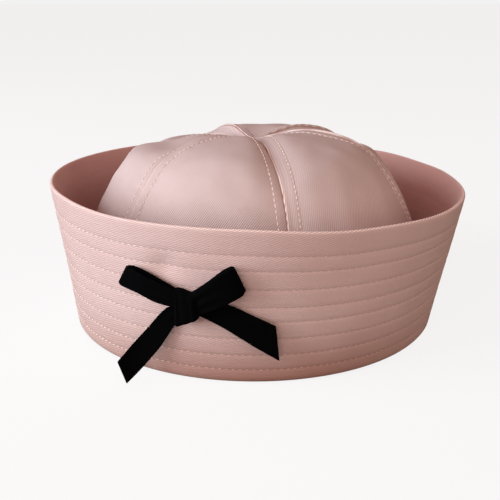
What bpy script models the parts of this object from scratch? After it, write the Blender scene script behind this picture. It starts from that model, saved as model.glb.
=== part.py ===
"""Sailor cap: a six-gore cloth crown in a flared, turned-up brim, with a velvet ribbon bow.

Metres, +Z up. The side that carries the bow faces -Y, and azimuths are measured from there towards +X.
"""
import math

import bmesh
import bpy
from mathutils import Vector

# Head opening, and the brim that folds up round it
HEAD_RADIUS = 0.0894
BRIM_WALL = 0.0020
BRIM_HEIGHT = 0.0724
# How much wider the rim is than the foot, on the radius
FLARE = 0.0118
# The foot's middle lies this far to the left of the rim's
FOOT_LEAN = 0.0024
# Height of the short turn-in that carries the crown, the gap between it and the wall, and the fold's rounding
TURN_IN_HEIGHT = 0.0100
FOLD_GAP = 0.0016
FOLD_RADIUS = 0.0014
# Outer radius of the brim's foot
FOOT_RADIUS = HEAD_RADIUS + 2 * BRIM_WALL + FOLD_GAP

# Crown: six gores over the head opening
CROWN_HEIGHT = 0.0905
CROWN_WALL = 0.0012
# Radius of the small hole that the gores' tips leave
TIP_RADIUS = 0.0010

# Bow: ribbon, knot, loops and tails
RIBBON_WIDTH = 0.0112
RIBBON_WALL = 0.0010
BOW_AZIMUTH = -16.0
BOW_HEIGHT = 0.0395
KNOT_WIDTH = 0.0078
KNOT_LENGTH = 0.0138
KNOT_DEPTH = 0.0066
KNOT_ROUNDING = 0.0024
LOOP_BULGE = 0.0072
LEFT_LOOP_WIDTH = 0.0094
LEFT_LOOP_ROOT = 0.0040
LEFT_LOOP_REACH = 0.0250
LEFT_LOOP_RISE = 0.0050
RIGHT_LOOP_WIDTH = 0.0112
RIGHT_LOOP_ROOT = 0.0015
RIGHT_LOOP_REACH = 0.0160
RIGHT_LOOP_RISE = 0.0140
LEFT_TAIL_REACH = 0.0275
LEFT_TAIL_STAND_OFF = 0.0145
RIGHT_TAIL_REACH = 0.0360
RIGHT_TAIL_DROP = 0.0175
RIGHT_TAIL_STAND_OFF = 0.0030

# Gap between neighbouring pieces, and between the hanging tail and the surface below the cap
CLEARANCE = 0.0003

# How finely the shapes are divided
BRIM_STEPS = 96
WALL_ROWS = 5
GORE_STEPS_ACROSS = 8
GORE_STEPS_DOWN = 16
RIBBON_STEPS_ACROSS = 3
LOOP_STEPS = 26
TAIL_STEPS = 14

# Rim height all round: azimuth in degrees, change as a share of the brim's height
RIM_WAVE = (
    {"azimuth": -180, "change": 0.008},
    {"azimuth": -150, "change": 0.022},
    {"azimuth": -120, "change": 0.029},
    {"azimuth": -90, "change": 0.034},
    {"azimuth": -62, "change": 0.038},
    {"azimuth": -35, "change": 0.013},
    {"azimuth": -5, "change": 0.015},
    {"azimuth": 25, "change": -0.022},
    {"azimuth": 60, "change": -0.042},
    {"azimuth": 90, "change": -0.044},
    {"azimuth": 110, "change": -0.033},
    {"azimuth": 135, "change": -0.014},
    {"azimuth": 160, "change": -0.001},
)

# Gores from the front one to the right: azimuth in degrees of the seam on a gore's left, how far that seam
# rises from the sunk seam line to the crest line, and how much the gore swells on top and at its side
GORES = (
    {"seam_azimuth": -52.0, "lift": 0.60, "top": 1.00, "side": 1.00},
    {"seam_azimuth": 13.5, "lift": 0.00, "top": 1.00, "side": 1.40},
    {"seam_azimuth": 82.0, "lift": 0.30, "top": 0.80, "side": 1.20},
    {"seam_azimuth": 140.0, "lift": 0.40, "top": 0.75, "side": 1.00},
    {"seam_azimuth": 200.0, "lift": 0.70, "top": 0.20, "side": 1.00},
    {"seam_azimuth": 255.0, "lift": 0.00, "top": 0.32, "side": 1.55},
)

# Crown from its middle to its lower edge. Radii are shares of the crown's base radius, heights are shares of
# the crown's height above the turn-in, and shift is a share of the foot's lean
CROWN_SECTIONS = (
    {"crest_radius": 0.000, "crest_height": 1.000, "seam_radius": 0.000, "seam_height": 1.000, "shift": 1.42},
    {"crest_radius": 0.132, "crest_height": 1.040, "seam_radius": 0.146, "seam_height": 1.006, "shift": 1.30},
    {"crest_radius": 0.286, "crest_height": 1.075, "seam_radius": 0.300, "seam_height": 1.004, "shift": 1.10},
    {"crest_radius": 0.440, "crest_height": 1.060, "seam_radius": 0.424, "seam_height": 0.971, "shift": 1.00},
    {"crest_radius": 0.571, "crest_height": 1.015, "seam_radius": 0.549, "seam_height": 0.923, "shift": 1.00},
    {"crest_radius": 0.665, "crest_height": 0.944, "seam_radius": 0.648, "seam_height": 0.860, "shift": 1.00},
    {"crest_radius": 0.737, "crest_height": 0.844, "seam_radius": 0.725, "seam_height": 0.782, "shift": 1.00},
    {"crest_radius": 0.803, "crest_height": 0.738, "seam_radius": 0.786, "seam_height": 0.686, "shift": 1.00},
    {"crest_radius": 0.863, "crest_height": 0.620, "seam_radius": 0.841, "seam_height": 0.570, "shift": 1.00},
    {"crest_radius": 0.913, "crest_height": 0.495, "seam_radius": 0.890, "seam_height": 0.445, "shift": 1.00},
    {"crest_radius": 0.953, "crest_height": 0.345, "seam_radius": 0.937, "seam_height": 0.320, "shift": 1.00},
    {"crest_radius": 0.984, "crest_height": 0.180, "seam_radius": 0.974, "seam_height": 0.168, "shift": 1.00},
    {"crest_radius": 1.000, "crest_height": 0.000, "seam_radius": 1.000, "seam_height": 0.000, "shift": 1.00},
)

# The sections that count as the crown's top, and the share of a section over which its slope is read
TOP_ROWS = 3
SECTION_STEP = 0.2

# A loop's ribbon from the knot out along the brim and back: shares of its reach, bulge and width
LOOP_SECTIONS = (
    {"along": 0.00, "stand_off": 0.30, "width": 0.70},
    {"along": 0.35, "stand_off": 0.08, "width": 0.86},
    {"along": 0.72, "stand_off": 0.06, "width": 0.94},
    {"along": 0.95, "stand_off": 0.20, "width": 0.98},
    {"along": 1.00, "stand_off": 0.50, "width": 1.00},
    {"along": 0.93, "stand_off": 0.84, "width": 1.00},
    {"along": 0.68, "stand_off": 1.00, "width": 0.98},
    {"along": 0.34, "stand_off": 0.92, "width": 0.88},
    {"along": 0.00, "stand_off": 0.68, "width": 0.70},
)

# The tails from under the knot to the cut end: shares of reach, drop, stand-off and width, and the angle in
# degrees that the ribbon's cross line turns from upright
LEFT_TAIL_SECTIONS = (
    {"along": 0.00, "drop": 0.10, "stand_off": 0.00, "width": 0.55, "turn": 0.0},
    {"along": 0.16, "drop": 0.24, "stand_off": 0.03, "width": 0.70, "turn": 30.0},
    {"along": 0.40, "drop": 0.46, "stand_off": 0.22, "width": 0.82, "turn": 46.0},
    {"along": 0.70, "drop": 0.73, "stand_off": 0.58, "width": 0.86, "turn": 48.0},
    {"along": 1.00, "drop": 1.00, "stand_off": 1.00, "width": 0.92, "turn": 36.0},
)
RIGHT_TAIL_SECTIONS = (
    {"along": 0.00, "drop": 0.12, "stand_off": 0.00, "width": 0.55, "turn": 0.0},
    {"along": 0.16, "drop": 0.20, "stand_off": 0.05, "width": 0.75, "turn": 20.0},
    {"along": 0.45, "drop": 0.46, "stand_off": 0.30, "width": 0.98, "turn": 27.0},
    {"along": 0.75, "drop": 0.76, "stand_off": 0.70, "width": 1.00, "turn": 25.0},
    {"along": 1.00, "drop": 1.00, "stand_off": 1.00, "width": 1.22, "turn": -9.0},
)

# Colours of the cloth and the velvet
TWILL_COLOUR = (0.68, 0.43, 0.40, 1.0)
VELVET_COLOUR = (0.012, 0.012, 0.014, 1.0)


def smooth_value(rows, key, position):
    """Reads a column at a fractional row number, along a curve through its values."""
    last = len(rows) - 1
    low = min(int(position), last - 1)
    share = position - low
    before = rows[max(low - 1, 0)][key]
    start = rows[low][key]
    end = rows[low + 1][key]
    after = rows[min(low + 2, last)][key]
    bend = 2 * before - 5 * start + 4 * end - after
    twist = 3 * start - before - 3 * end + after
    return start + 0.5 * share * (end - before + share * (bend + share * twist))


def rim_change(azimuth):
    """Change of the rim's height at an azimuth in radians, as a share of the brim's height."""
    degrees = math.degrees(math.atan2(math.sin(azimuth), math.cos(azimuth)))
    rows = RIM_WAVE + ({"azimuth": RIM_WAVE[0]["azimuth"] + 360, "change": RIM_WAVE[0]["change"]},)
    for row, following in zip(rows, rows[1:]):
        if degrees <= following["azimuth"]:
            break
    share = (degrees - row["azimuth"]) / (following["azimuth"] - row["azimuth"])
    eased = share * share * (3 - 2 * share)
    return row["change"] + (following["change"] - row["change"]) * eased


def wall_point(azimuth, height, stand_off):
    """Point off the brim's outer face, at an azimuth in radians and a height."""
    share = height / BRIM_HEIGHT
    radius = FOOT_RADIUS + FLARE * share + stand_off
    middle = -FOOT_LEAN * (1 - share)
    return Vector((middle + radius * math.sin(azimuth), -radius * math.cos(azimuth), height))


def make_collection(name):
    """A new collection for the cap's pieces."""
    collection = bpy.data.collections.new(name)
    bpy.context.scene.collection.children.link(collection)
    return collection


def make_material(name, colour, roughness):
    """Plain material of one colour."""
    material = bpy.data.materials.new(name)
    material.use_nodes = True
    shader = material.node_tree.nodes["Principled BSDF"]
    shader.inputs["Base Color"].default_value = colour
    shader.inputs["Roughness"].default_value = roughness
    return material


def finish_piece(name, shape, material, collection):
    """Turns a bmesh into a named, smooth-shaded object."""
    bmesh.ops.recalc_face_normals(shape, faces=shape.faces)
    for face in shape.faces:
        face.smooth = True
    mesh = bpy.data.meshes.new(name)
    shape.to_mesh(mesh)
    shape.free()
    mesh.materials.append(material)
    piece = bpy.data.objects.new(name, mesh)
    collection.objects.link(piece)
    return piece


def thicken(piece, wall, offset):
    """Gives a sheet its wall: offset -1 inward, 0 to both sides."""
    solidify = piece.modifiers.new("wall", "SOLIDIFY")
    solidify.thickness = wall
    solidify.offset = offset
    solidify.use_even_offset = True


def make_sheet(steps_along, steps_across, place):
    """Grid whose corners are put where place(along, across) says, both from 0 to 1."""
    shape = bmesh.new()
    bmesh.ops.create_grid(shape, x_segments=steps_along, y_segments=steps_across, size=0.5)
    for vertex in shape.verts:
        vertex.co = place(vertex.co.x + 0.5, vertex.co.y + 0.5)
    return shape


def make_walled_sheet(steps_along, steps_across, place):
    """Closed sheet: an outer and an inner grid placed by place(along, across, depth), joined at their edges."""
    shape = bmesh.new()
    borders = []
    for depth in (0, 1):
        grid = bmesh.ops.create_grid(shape, x_segments=steps_along, y_segments=steps_across, size=0.5)
        for vertex in grid["verts"]:
            borders += [edge for edge in vertex.link_edges if edge.is_boundary and edge not in borders]
            vertex.co = place(vertex.co.x + 0.5, vertex.co.y + 0.5, depth)
    bmesh.ops.bridge_loops(shape, edges=borders)
    return shape


def make_brim(material, collection):
    """The band: rim, flared wall, fold and turn-in, spun round and then leaned and waved."""
    profile = []
    for row in range(WALL_ROWS):
        share = 1 - row / WALL_ROWS
        height = FOLD_RADIUS + (BRIM_HEIGHT - FOLD_RADIUS) * share
        profile.append((FOOT_RADIUS + FLARE * height / BRIM_HEIGHT, height))
    foot = FOOT_RADIUS + FLARE * FOLD_RADIUS / BRIM_HEIGHT
    slack = FOLD_RADIUS * (1 - math.sqrt(0.5))
    profile.append((foot, FOLD_RADIUS))
    profile.append((foot - slack, slack))
    profile.append((foot - FOLD_RADIUS, 0))
    profile.append((HEAD_RADIUS + FOLD_RADIUS, 0))
    profile.append((HEAD_RADIUS + slack, slack))
    profile.append((HEAD_RADIUS, FOLD_RADIUS))
    profile.append((HEAD_RADIUS, TURN_IN_HEIGHT))

    shape = bmesh.new()
    corners = [shape.verts.new((0, -radius, height)) for radius, height in profile]
    edges = [shape.edges.new(pair) for pair in zip(corners, corners[1:])]
    bmesh.ops.spin(shape, geom=corners + edges, cent=(0, 0, 0), axis=(0, 0, 1), angle=math.tau,
                   steps=BRIM_STEPS, use_merge=True)
    for vertex in shape.verts:
        azimuth = math.atan2(vertex.co.x, -vertex.co.y)
        on_wall = math.hypot(vertex.co.x, vertex.co.y) > FOOT_RADIUS
        share = vertex.co.z / BRIM_HEIGHT if on_wall else 0
        rise = BRIM_HEIGHT * rim_change(azimuth) * share * share
        flare = FLARE * rise / BRIM_HEIGHT
        vertex.co.x += flare * math.sin(azimuth) - FOOT_LEAN * (1 - share)
        vertex.co.y -= flare * math.cos(azimuth)
        vertex.co.z += rise
    brim = finish_piece("brim", shape, material, collection)
    thicken(brim, BRIM_WALL, -1)


def make_gore(number, material, collection):
    """One wedge of the crown, puffed up between its two seams."""
    base_radius = HEAD_RADIUS + (BRIM_WALL + CROWN_WALL) / 2
    base_height = TURN_IN_HEIGHT + CLEARANCE
    left = GORES[number - 1]
    right = GORES[number % len(GORES)]
    start = math.radians(left["seam_azimuth"])
    sweep = math.radians((right["seam_azimuth"] - left["seam_azimuth"]) % 360)
    first = TIP_RADIUS / base_radius / CROWN_SECTIONS[1]["crest_radius"]

    def section(position, across):
        row = {key: smooth_value(CROWN_SECTIONS, key, position) for key in CROWN_SECTIONS[0]}
        puff = 1 - abs(2 * across - 1) ** 2.2
        lift = left["lift"] + (right["lift"] - left["lift"]) * across
        down_side = min(max((position - TOP_ROWS) / TOP_ROWS, 0), 1)
        swell = left["top"] + (left["side"] - left["top"]) * down_side
        crest_share = swell * puff + lift * (1 - puff)
        radius = base_radius * (row["seam_radius"] + (row["crest_radius"] - row["seam_radius"]) * crest_share)
        height = row["seam_height"] + (row["crest_height"] - row["seam_height"]) * crest_share
        return Vector((radius, base_height + (CROWN_HEIGHT - base_height) * height, row["shift"]))

    def place(down, across, depth):
        position = first + down * (len(CROWN_SECTIONS) - 1 - first)
        outer = section(position, across)
        upper = section(max(position - SECTION_STEP, first), across)
        lower = section(min(position + SECTION_STEP, len(CROWN_SECTIONS) - 1), across)
        run = (lower.xy - upper.xy).normalized()
        radius = outer.x + depth * CROWN_WALL * run.y
        height = max(outer.y - depth * CROWN_WALL * run.x, base_height)
        margin = math.asin(CLEARANCE / 2 / radius)
        azimuth = start + margin + (sweep - 2 * margin) * across
        return Vector((radius * math.sin(azimuth) - FOOT_LEAN * outer.z, -radius * math.cos(azimuth), height))

    shape = make_walled_sheet(GORE_STEPS_DOWN, GORE_STEPS_ACROSS, place)
    finish_piece(f"gore_{number}", shape, material, collection)


def bow_frame():
    """Azimuth of the knot and the wall's radius there, which turns lengths along the wall into angles."""
    azimuth = math.radians(BOW_AZIMUTH)
    radius = FOOT_RADIUS + FLARE * BOW_HEIGHT / BRIM_HEIGHT
    return azimuth, radius


def make_loop(name, side, width, root, reach, rise, material, collection):
    """Ribbon that leaves the knot along the brim, turns and comes back in front."""
    azimuth, radius = bow_frame()
    lowest = RIBBON_WALL * 1.5 + CLEARANCE * 2
    start = KNOT_WIDTH / 2 + CLEARANCE
    length = math.hypot(reach, rise)

    def place(along, across):
        position = along * (len(LOOP_SECTIONS) - 1)
        row = {key: smooth_value(LOOP_SECTIONS, key, position) for key in LOOP_SECTIONS[0]}
        cross = (across - 0.5) * width * row["width"]
        tilt = row["along"]
        arc = side * (start + reach * row["along"]) - side * cross * rise / length * tilt
        height = BOW_HEIGHT + root + rise * row["along"] + cross * (1 - (1 - reach / length) * tilt)
        return wall_point(azimuth + arc / radius, height, lowest + LOOP_BULGE * row["stand_off"])

    shape = make_sheet(LOOP_STEPS, RIBBON_STEPS_ACROSS, place)
    loop = finish_piece(name, shape, material, collection)
    thicken(loop, RIBBON_WALL, 0)


def make_tail(name, side, reach, drop, stand_off, sections, material, collection):
    """Cut end of the ribbon, from under the knot down along the brim."""
    azimuth, radius = bow_frame()
    lowest = RIBBON_WALL / 2 + CLEARANCE
    start = CLEARANCE / 2

    def place(along, across):
        position = along * (len(sections) - 1)
        row = {key: smooth_value(sections, key, position) for key in sections[0]}
        cross = (across - 0.5) * RIBBON_WIDTH * row["width"]
        turn = math.radians(row["turn"])
        arc = side * (start + reach * row["along"] + cross * math.sin(turn))
        height = BOW_HEIGHT - drop * row["drop"] + cross * math.cos(turn)
        return wall_point(azimuth + arc / radius, height, lowest + stand_off * row["stand_off"])

    shape = make_sheet(TAIL_STEPS, RIBBON_STEPS_ACROSS, place)
    tail = finish_piece(name, shape, material, collection)
    thicken(tail, RIBBON_WALL, 0)


def make_knot(material, collection):
    """The wrapped middle: a rounded block that stands on the tails' roots."""
    azimuth = math.radians(BOW_AZIMUTH)
    stand_off = RIBBON_WALL + CLEARANCE * 2 + KNOT_DEPTH / 2
    shape = bmesh.new()
    bmesh.ops.create_cube(shape, size=1)
    for vertex in shape.verts:
        vertex.co.x *= KNOT_WIDTH
        vertex.co.y *= KNOT_DEPTH
        vertex.co.z *= KNOT_LENGTH
    bmesh.ops.bevel(shape, geom=list(shape.edges), offset=KNOT_ROUNDING, affect="EDGES", segments=3,
                    profile=0.5, material=-1)
    knot = finish_piece("bow_knot", shape, material, collection)
    knot.location = wall_point(azimuth, BOW_HEIGHT, stand_off)
    knot.rotation_euler = (0, 0, azimuth)


def centre_pieces(collection):
    """Moves the whole cap sideways until the middle of its outline, bow included, is at the origin."""
    bpy.context.view_layer.update()
    depsgraph = bpy.context.evaluated_depsgraph_get()
    corners = []
    for piece in collection.objects:
        evaluated = piece.evaluated_get(depsgraph)
        corners += [evaluated.matrix_world @ Vector(corner) for corner in evaluated.bound_box]
    for axis in (0, 1):
        low = min(corner[axis] for corner in corners)
        high = max(corner[axis] for corner in corners)
        for piece in collection.objects:
            piece.location[axis] -= (low + high) / 2


def build():
    """Clears the scene and makes the cap."""
    for item in list(bpy.data.objects):
        bpy.data.objects.remove(item, do_unlink=True)
    collection = make_collection("sailor_cap")
    twill = make_material("twill_cloth", TWILL_COLOUR, 0.85)
    velvet = make_material("velvet_ribbon", VELVET_COLOUR, 0.90)
    make_brim(twill, collection)
    for number in range(1, len(GORES) + 1):
        make_gore(number, twill, collection)
    make_knot(velvet, collection)
    make_loop("bow_loop_left", -1, LEFT_LOOP_WIDTH, LEFT_LOOP_ROOT, LEFT_LOOP_REACH, LEFT_LOOP_RISE,
              velvet, collection)
    make_loop("bow_loop_right", 1, RIGHT_LOOP_WIDTH, RIGHT_LOOP_ROOT, RIGHT_LOOP_REACH, RIGHT_LOOP_RISE,
              velvet, collection)
    end = LEFT_TAIL_SECTIONS[-1]
    end_height = RIBBON_WIDTH * end["width"] * math.cos(math.radians(end["turn"])) / 2
    left_drop = BOW_HEIGHT - end_height - RIBBON_WALL / 2 - CLEARANCE
    make_tail("bow_tail_left", -1, LEFT_TAIL_REACH, left_drop, LEFT_TAIL_STAND_OFF,
              LEFT_TAIL_SECTIONS, velvet, collection)
    make_tail("bow_tail_right", 1, RIGHT_TAIL_REACH, RIGHT_TAIL_DROP, RIGHT_TAIL_STAND_OFF,
              RIGHT_TAIL_SECTIONS, velvet, collection)
    centre_pieces(collection)


build()
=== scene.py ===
import math

import bmesh
import bpy
from mathutils import Matrix, Vector, noise


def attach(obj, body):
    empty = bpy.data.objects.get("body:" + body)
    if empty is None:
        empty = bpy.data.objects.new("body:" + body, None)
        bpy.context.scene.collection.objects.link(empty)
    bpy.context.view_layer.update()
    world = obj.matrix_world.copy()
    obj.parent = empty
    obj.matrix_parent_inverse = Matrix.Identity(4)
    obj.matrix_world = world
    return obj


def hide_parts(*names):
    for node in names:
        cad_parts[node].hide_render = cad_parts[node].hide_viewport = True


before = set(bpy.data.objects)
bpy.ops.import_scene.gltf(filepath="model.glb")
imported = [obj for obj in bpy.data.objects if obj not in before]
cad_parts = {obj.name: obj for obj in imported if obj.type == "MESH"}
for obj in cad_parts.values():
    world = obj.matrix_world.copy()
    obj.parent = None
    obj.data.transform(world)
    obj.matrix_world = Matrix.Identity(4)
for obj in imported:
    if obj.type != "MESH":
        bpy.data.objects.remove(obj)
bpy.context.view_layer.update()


# The brim. On the real cap it is a stiff band of two layers of cotton twill with an interlining between them.
# It is stitched flat in rows all round and folded over at the rim. It starts as a short turn-in at the head
# opening, folds up at the foot and flares out to the rim.

HEAD_RADIUS = 0.0894
BRIM_WALL = 0.0020
BRIM_HEIGHT = 0.0724
FLARE = 0.0118
FOOT_LEAN = 0.0024
TURN_IN_HEIGHT = 0.0100
FOLD_GAP = 0.0016
FOLD_RADIUS = 0.0014
FOOT_RADIUS = HEAD_RADIUS + 2 * BRIM_WALL + FOLD_GAP
# The rim's middle lies here in plan, because the row's origin is the middle of the outline with the bow
CAP_MIDDLE = Vector((0.00046, 0.002865, 0))

# How far the settled rim stands above or below its mean height round the cap, as shares of the brim's height
RIM_WAVE = (
    {"azimuth": -180, "change": 0.008},
    {"azimuth": -150, "change": 0.022},
    {"azimuth": -120, "change": 0.029},
    {"azimuth": -90, "change": 0.034},
    {"azimuth": -62, "change": 0.038},
    {"azimuth": -35, "change": 0.013},
    {"azimuth": -5, "change": 0.015},
    {"azimuth": 25, "change": -0.022},
    {"azimuth": 60, "change": -0.042},
    {"azimuth": 90, "change": -0.044},
    {"azimuth": 110, "change": -0.033},
    {"azimuth": 135, "change": -0.014},
    {"azimuth": 160, "change": -0.001},
    {"azimuth": 180, "change": 0.008},
)

# The eight stitch rows as shares of the brim's height, how deep the thread pulls the cloth in, how wide that
# valley is, how far the cloth swells between rows, and the share of all that on the inner face
STITCH_ROWS = (0.092, 0.194, 0.306, 0.418, 0.517, 0.632, 0.750, 0.845)
ROW_DEPTH = 0.00019
ROW_REACH = 0.00055
ROW_SWELL = 0.00007
INNER_PULL = 0.25
# Painted shade: how much darker the cloth is painted along a row's valley
ROW_SHADE = 0.15

# Steps round the band and up its wall
BRIM_STEPS = 384
WALL_STEPS = 38
# Extra rings of the wall lie at these distances from each stitch row
ROW_OFFSETS = (-0.0009, -0.00035, 0.0, 0.00035, 0.0009)

# Painted shade at the foot: how much darker the cloth is painted there, up to this height, most at this
# azimuth, and how fast that fades round the cap and upward
FOOT_PAINTED_SHADE = 0.95
FOOT_SHADE_HEIGHT = 0.030
FOOT_SHADE_AZIMUTH = math.radians(4)
FOOT_SHADE_ROUND = 1.4
FOOT_SHADE_UPWARD = 1.3
# How much painted shade turns the inner face deep red, and how clearly its ribs show
INNER_PAINTED_SHADE = 0.34
INNER_RIBS = 0.3
# How pale the rim's bead is rubbed and painted with highlight, at which angle up from straight out and over
# how many degrees each way
RIM_RUB_AND_HIGHLIGHT = 0.88
RIM_RUB_AND_HIGHLIGHT_ANGLE = 66
RIM_RUB_AND_HIGHLIGHT_REACH = 54

# The bow's stitches pull a shallow dent into the wall beside the left loop
DENT_AZIMUTH = math.radians(-22.4)
DENT_HEIGHT = 0.0535
DENT_REACH = 0.0056
DENT_DEPTH = 0.0018
# The worn wall wanders in and out by up to this much, in waves of about 45 mm
WALL_SLACK = 0.0006
SLACK_WAVES = 22

# The twill's diagonal ribs rise to the right at this angle on the band, and a whole number goes round it.
# They are drawn about 0.9 mm apart, as coarse as they need to be to show
BRIM_RIB_ANGLE = math.radians(25)
BRIM_ARC_RADIUS = 0.1009
BRIM_RIB_COUNT = 300


def linear(hex_colour):
    """Colour given as sRGB hex, turned to the linear values that the shaders read."""
    shares = [int(hex_colour[start:start + 2], 16) / 255 for start in (1, 3, 5)]
    return [share / 12.92 if share <= 0.04045 else ((share + 0.055) / 1.055) ** 2.4
            for share in shares] + [1.0]


def add_node(tree, kind, settings, links):
    """Adds a node, sets its properties or sockets by name or number, and links outputs to its sockets."""
    node = tree.nodes.new(kind)
    for name, value in settings.items():
        if isinstance(name, int) or name in node.inputs:
            node.inputs[name].default_value = value
        else:
            setattr(node, name, value)
    for name, output in links.items():
        tree.links.new(output, node.inputs[name])
    return node


def start_material(name, settings):
    """A new material with sockets of its shader set, its node tree and that shader."""
    material = bpy.data.materials.new(name)
    material.use_nodes = True
    shader = material.node_tree.nodes["Principled BSDF"]
    for socket, value in settings.items():
        shader.inputs[socket].default_value = value
    return material, material.node_tree, shader


def cotton_twill(name, rib_angle, rib_spacing_mm, face_hex, valley_shade_hex, faded_hex, bloom):
    """Cotton twill: matt, with fine diagonal ribs, painted shade in their valleys and a bloom of fibre ends.
    """
    # Woven cotton: no gloss to speak of, and a pale bloom where the light grazes the loose fibre ends
    material, tree, shader = start_material(name, {
        "Roughness": 0.88, "IOR": 1.45, "Specular IOR Level": 0.20,
        "Sheen Weight": bloom, "Sheen Roughness": 0.45, "Sheen Tint": linear("#F6E6E2")})
    cloth = add_node(tree, "ShaderNodeUVMap", {"uv_map": "cloth_mm"}, {})
    place = add_node(tree, "ShaderNodeTexCoord", {}, {})
    # Where the cloth is rubbed pale and painted with highlight, where painted shade darkens it, how clearly
    # its ribs stand out, and in the alpha where painted shade turns it deep red
    wear_and_painted_light = add_node(tree, "ShaderNodeAttribute", {"attribute_name": "wear_and_painted_light"}, {})
    shares = add_node(tree, "ShaderNodeSeparateColor", {}, {"Color": wear_and_painted_light.outputs["Color"]})
    turned = add_node(tree, "ShaderNodeMapping", {"Rotation": (0, 0, -math.pi / 2 - rib_angle)},
                      {"Vector": cloth.outputs["UV"]})
    # The ribs wander a little, over about 8 mm
    wander = add_node(tree, "ShaderNodeTexNoise", {"Scale": 120, "Detail": 1.0},
                      {"Vector": place.outputs["Object"]})
    phase = add_node(tree, "ShaderNodeMath", {"operation": "MULTIPLY", 1: 2.2}, {0: wander.outputs["Fac"]})
    ribs = add_node(tree, "ShaderNodeTexWave",
                    {"wave_type": "BANDS", "bands_direction": "X", "wave_profile": "SIN",
                     "Scale": math.tau / 20 / rib_spacing_mm, "Distortion": 0.0},
                    {"Vector": turned.outputs["Vector"], "Phase Offset": phase.outputs["Value"]})
    # Yarn ends: streaks about 0.7 mm by 2.5 mm along the ribs
    along = add_node(tree, "ShaderNodeMapping", {"Scale": (1.4, 0.4, 1.0)},
                     {"Vector": turned.outputs["Vector"]})
    yarn = add_node(tree, "ShaderNodeTexNoise", {"Scale": 1.0, "Detail": 2.0},
                    {"Vector": along.outputs["Vector"]})
    woven = add_node(tree, "ShaderNodeMix", {"data_type": "FLOAT", 0: 0.30},
                     {2: ribs.outputs["Fac"], 3: yarn.outputs["Fac"]})
    weave = add_node(tree, "ShaderNodeMix", {"data_type": "FLOAT", 2: 0.55},
                     {0: shares.outputs["Blue"], 3: woven.outputs[0]})
    raised = add_node(tree, "ShaderNodeBump", {"Strength": 0.55, "Distance": 0.00016},
                      {"Height": weave.outputs[0]})
    # Random fading in clouds about 25 mm across, over the ribs' face and the painted shade of their valleys
    clouds = add_node(tree, "ShaderNodeTexNoise", {"Scale": 40, "Detail": 3.0, "Roughness": 0.6},
                      {"Vector": place.outputs["Object"]})
    worn = add_node(tree, "ShaderNodeMapRange",
                    {"From Min": 0.35, "From Max": 0.75, "To Min": 0.0, "To Max": 0.28},
                    {"Value": clouds.outputs["Fac"]})
    ribs_and_valley_shade = add_node(tree, "ShaderNodeMix", {"data_type": "RGBA", 6: linear(valley_shade_hex), 7: linear(face_hex)},
                    {0: weave.outputs[0]})
    faded = add_node(tree, "ShaderNodeMix", {"data_type": "RGBA", 7: linear(faded_hex)},
                     {0: worn.outputs["Result"], 6: ribs_and_valley_shade.outputs[2]})
    # Painted shade: deep red on the brim's inner face, browner pink in ditches, along stitch rows and at the
    # foot
    painted_inner_shade = add_node(tree, "ShaderNodeMix", {"data_type": "RGBA", 7: linear("#B8604E")},
                    {0: wear_and_painted_light.outputs["Alpha"], 6: faded.outputs[2]})
    painted_shade = add_node(tree, "ShaderNodeMix", {"data_type": "RGBA", 7: linear("#9E6C5C")},
                    {0: shares.outputs["Green"], 6: painted_inner_shade.outputs[2]})
    # On a rubbed fold, pale from wear and painted highlight, the ribs stand out like the strands of a cord
    strands = add_node(tree, "ShaderNodeMix",
                       {"data_type": "RGBA", 6: linear("#C99C93"), 7: linear("#FFF6F2")},
                       {0: ribs.outputs["Fac"]})
    rub_and_highlight = add_node(tree, "ShaderNodeMix", {"data_type": "RGBA"},
                      {0: shares.outputs["Red"], 6: painted_shade.outputs[2], 7: strands.outputs[2]})
    tree.links.new(rub_and_highlight.outputs[2], shader.inputs["Base Color"])
    tree.links.new(raised.outputs["Normal"], shader.inputs["Normal"])
    return material


def bump_at(distance, reach):
    """A smooth hump, 1 at no distance and near 0 past its reach."""
    return math.exp(-(distance / reach) ** 2)


def rim_change(azimuth):
    """How far the settled rim is above or below its mean height, as a share of the brim's height."""
    degrees = math.degrees(azimuth)
    for row, following in zip(RIM_WAVE, RIM_WAVE[1:]):
        if degrees <= following["azimuth"]:
            break
    share = (degrees - row["azimuth"]) / (following["azimuth"] - row["azimuth"])
    return row["change"] + (following["change"] - row["change"]) * share * share * (3 - 2 * share)


def row_pull(share):
    """How far the stitch rows pull the wall's face in at a share of its height."""
    pull = 0
    for low, high in zip((0.0,) + STITCH_ROWS, STITCH_ROWS + (0.97,)):
        if low < share < high:
            pull -= ROW_SWELL * math.sin(math.pi * (share - low) / (high - low))
    for row in STITCH_ROWS:
        pull += ROW_DEPTH * bump_at((share - row) * BRIM_HEIGHT, ROW_REACH)
    return pull


def settle_brim(shape):
    """Dents the wall, leans the foot to the left and waves the rim, as the worn cloth lies."""
    for vertex in shape.verts:
        radius = math.hypot(vertex.co.x, vertex.co.y)
        azimuth = math.atan2(vertex.co.x, -vertex.co.y)
        share = vertex.co.z / BRIM_HEIGHT if radius > HEAD_RADIUS + BRIM_WALL + FOLD_GAP / 2 else 0
        rise = BRIM_HEIGHT * rim_change(azimuth) * share * share
        slack = WALL_SLACK * noise.noise(vertex.co * SLACK_WAVES) * min(share * 3, 1)
        beside = math.hypot((azimuth - DENT_AZIMUTH) * BRIM_ARC_RADIUS, vertex.co.z - DENT_HEIGHT)
        outward = FLARE * rise / BRIM_HEIGHT + slack - DENT_DEPTH * bump_at(beside, DENT_REACH)
        vertex.co.x += outward * math.sin(azimuth) - FOOT_LEAN * (1 - share)
        vertex.co.y -= outward * math.cos(azimuth)
        vertex.co.z += rise
        vertex.co += CAP_MIDDLE


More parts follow.
